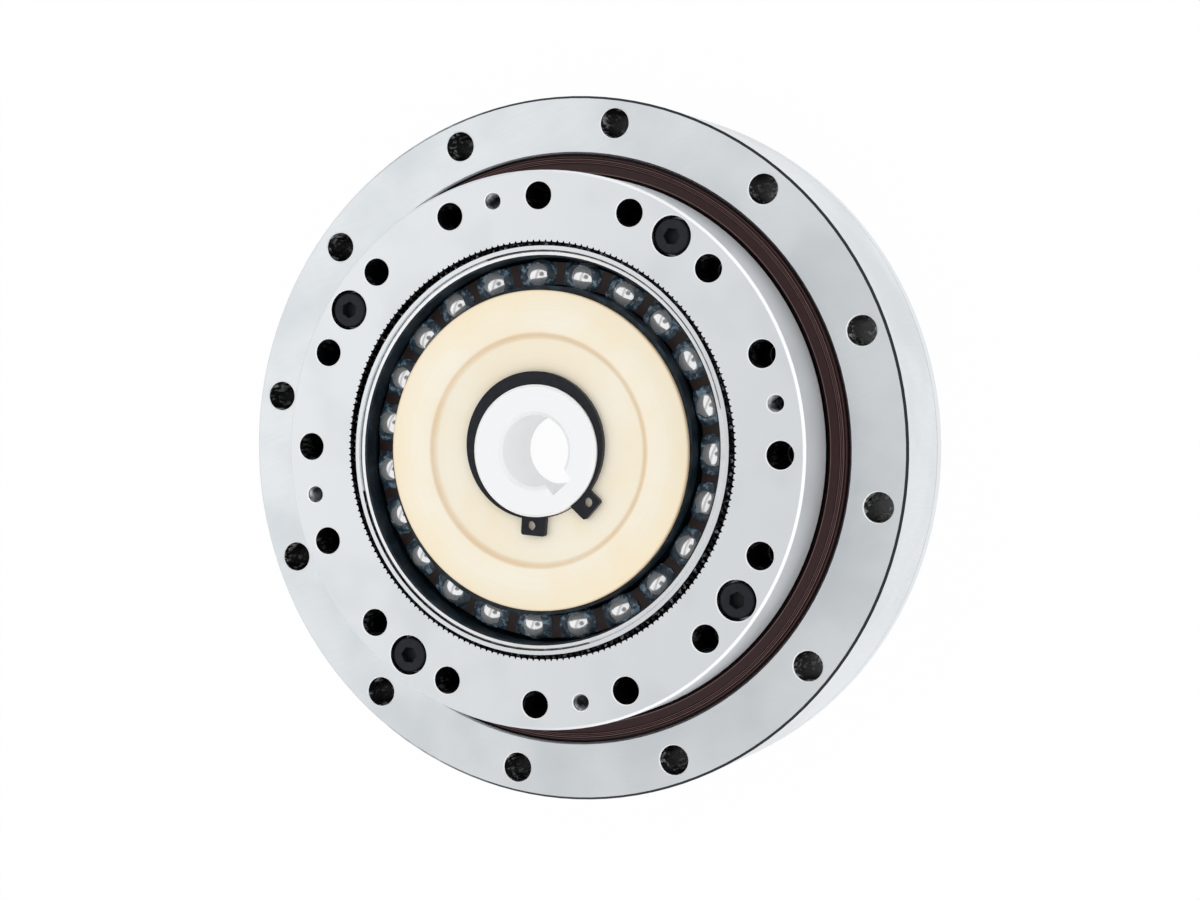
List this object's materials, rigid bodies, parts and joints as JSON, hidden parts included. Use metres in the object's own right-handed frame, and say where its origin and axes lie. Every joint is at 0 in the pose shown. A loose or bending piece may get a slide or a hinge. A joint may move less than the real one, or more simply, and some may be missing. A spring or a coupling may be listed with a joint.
{
  "type": "strain wave gear",
  "caption": "Open strain wave gear unit: keyed hub and elliptical wave generator, hat-shaped flexspline, and circular spline output on a crossed roller bearing.",
  "frame": {"origin": "centre of the mounting face at the back, on the gear axis", "axes": "+Z along the gear axis, out of the output face; +X towards one of the body's mounting holes"},
  "size_m": [0.142, 0.142, 0.0421],
  "materials": {
    "ground_steel": "ground",
    "spline_steel": "fine turned",
    "bearing_steel": "polished",
    "plug_steel": "turned",
    "hub_steel": "turned",
    "black_steel": "black oxide, oiled",
    "gold_plate": "pale passivated",
    "seal_rubber": "moulded",
    "cage_resin": "laminated resin, greased",
    "spacer_plastic": "moulded"
  },
  "bodies": {
    "root": {"outer_ring": "ground_steel", "filler_plug": "ground_steel", "filler_pin": "bearing_steel", "oil_seal": "seal_rubber", "flexspline": "spline_steel", "flange_screws": "black_steel", "bearing_outer_race": "bearing_steel"},
    "output": {"bearing_inner_ring": "ground_steel", "circular_spline": "spline_steel", "spline_screws": "black_steel"},
    "roller_set": {"cross_rollers_a": "bearing_steel", "cross_rollers_b": "bearing_steel", "roller_spacers": "spacer_plastic"},
    "wave_generator": {"cam_plug": "plug_steel", "bearing_inner_race": "bearing_steel", "retainer_plate": "gold_plate", "oldham_insert": "plug_steel", "input_hub": "hub_steel", "rub_washer": "gold_plate", "snap_ring": "black_steel"},
    "ball_set": {"bearing_balls": "bearing_steel", "ball_cage": "cage_resin"}
  },
  "joints": [
    {"name": "wave_generator_spin", "type": "hinge", "parent": "root", "child": "wave_generator", "pos_m": [0, 0, 0.0335], "axis": [0, 0, 1], "continuous": true, "deforming": ["flexspline", "bearing_outer_race"]},
    {"name": "output_spin", "type": "hinge", "parent": "root", "child": "output", "pos_m": [0, 0, 0.0145], "axis": [0, 0, 1], "continuous": true},
    {"name": "ball_set_spin", "type": "hinge", "parent": "root", "child": "ball_set", "pos_m": [0, 0, 0.0335], "axis": [0, 0, 1], "continuous": true},
    {"name": "roller_set_spin", "type": "hinge", "parent": "root", "child": "roller_set", "pos_m": [0, 0, 0.0145], "axis": [0, 0, 1], "continuous": true}
  ],
  "couplings": [
    {"joint": "output_spin", "follows": "wave_generator_spin", "ratio": 0.009901},
    {"joint": "ball_set_spin", "follows": "wave_generator_spin", "ratio": 0.4488},
    {"joint": "roller_set_spin", "follows": "wave_generator_spin", "ratio": 0.0049}
  ]
}
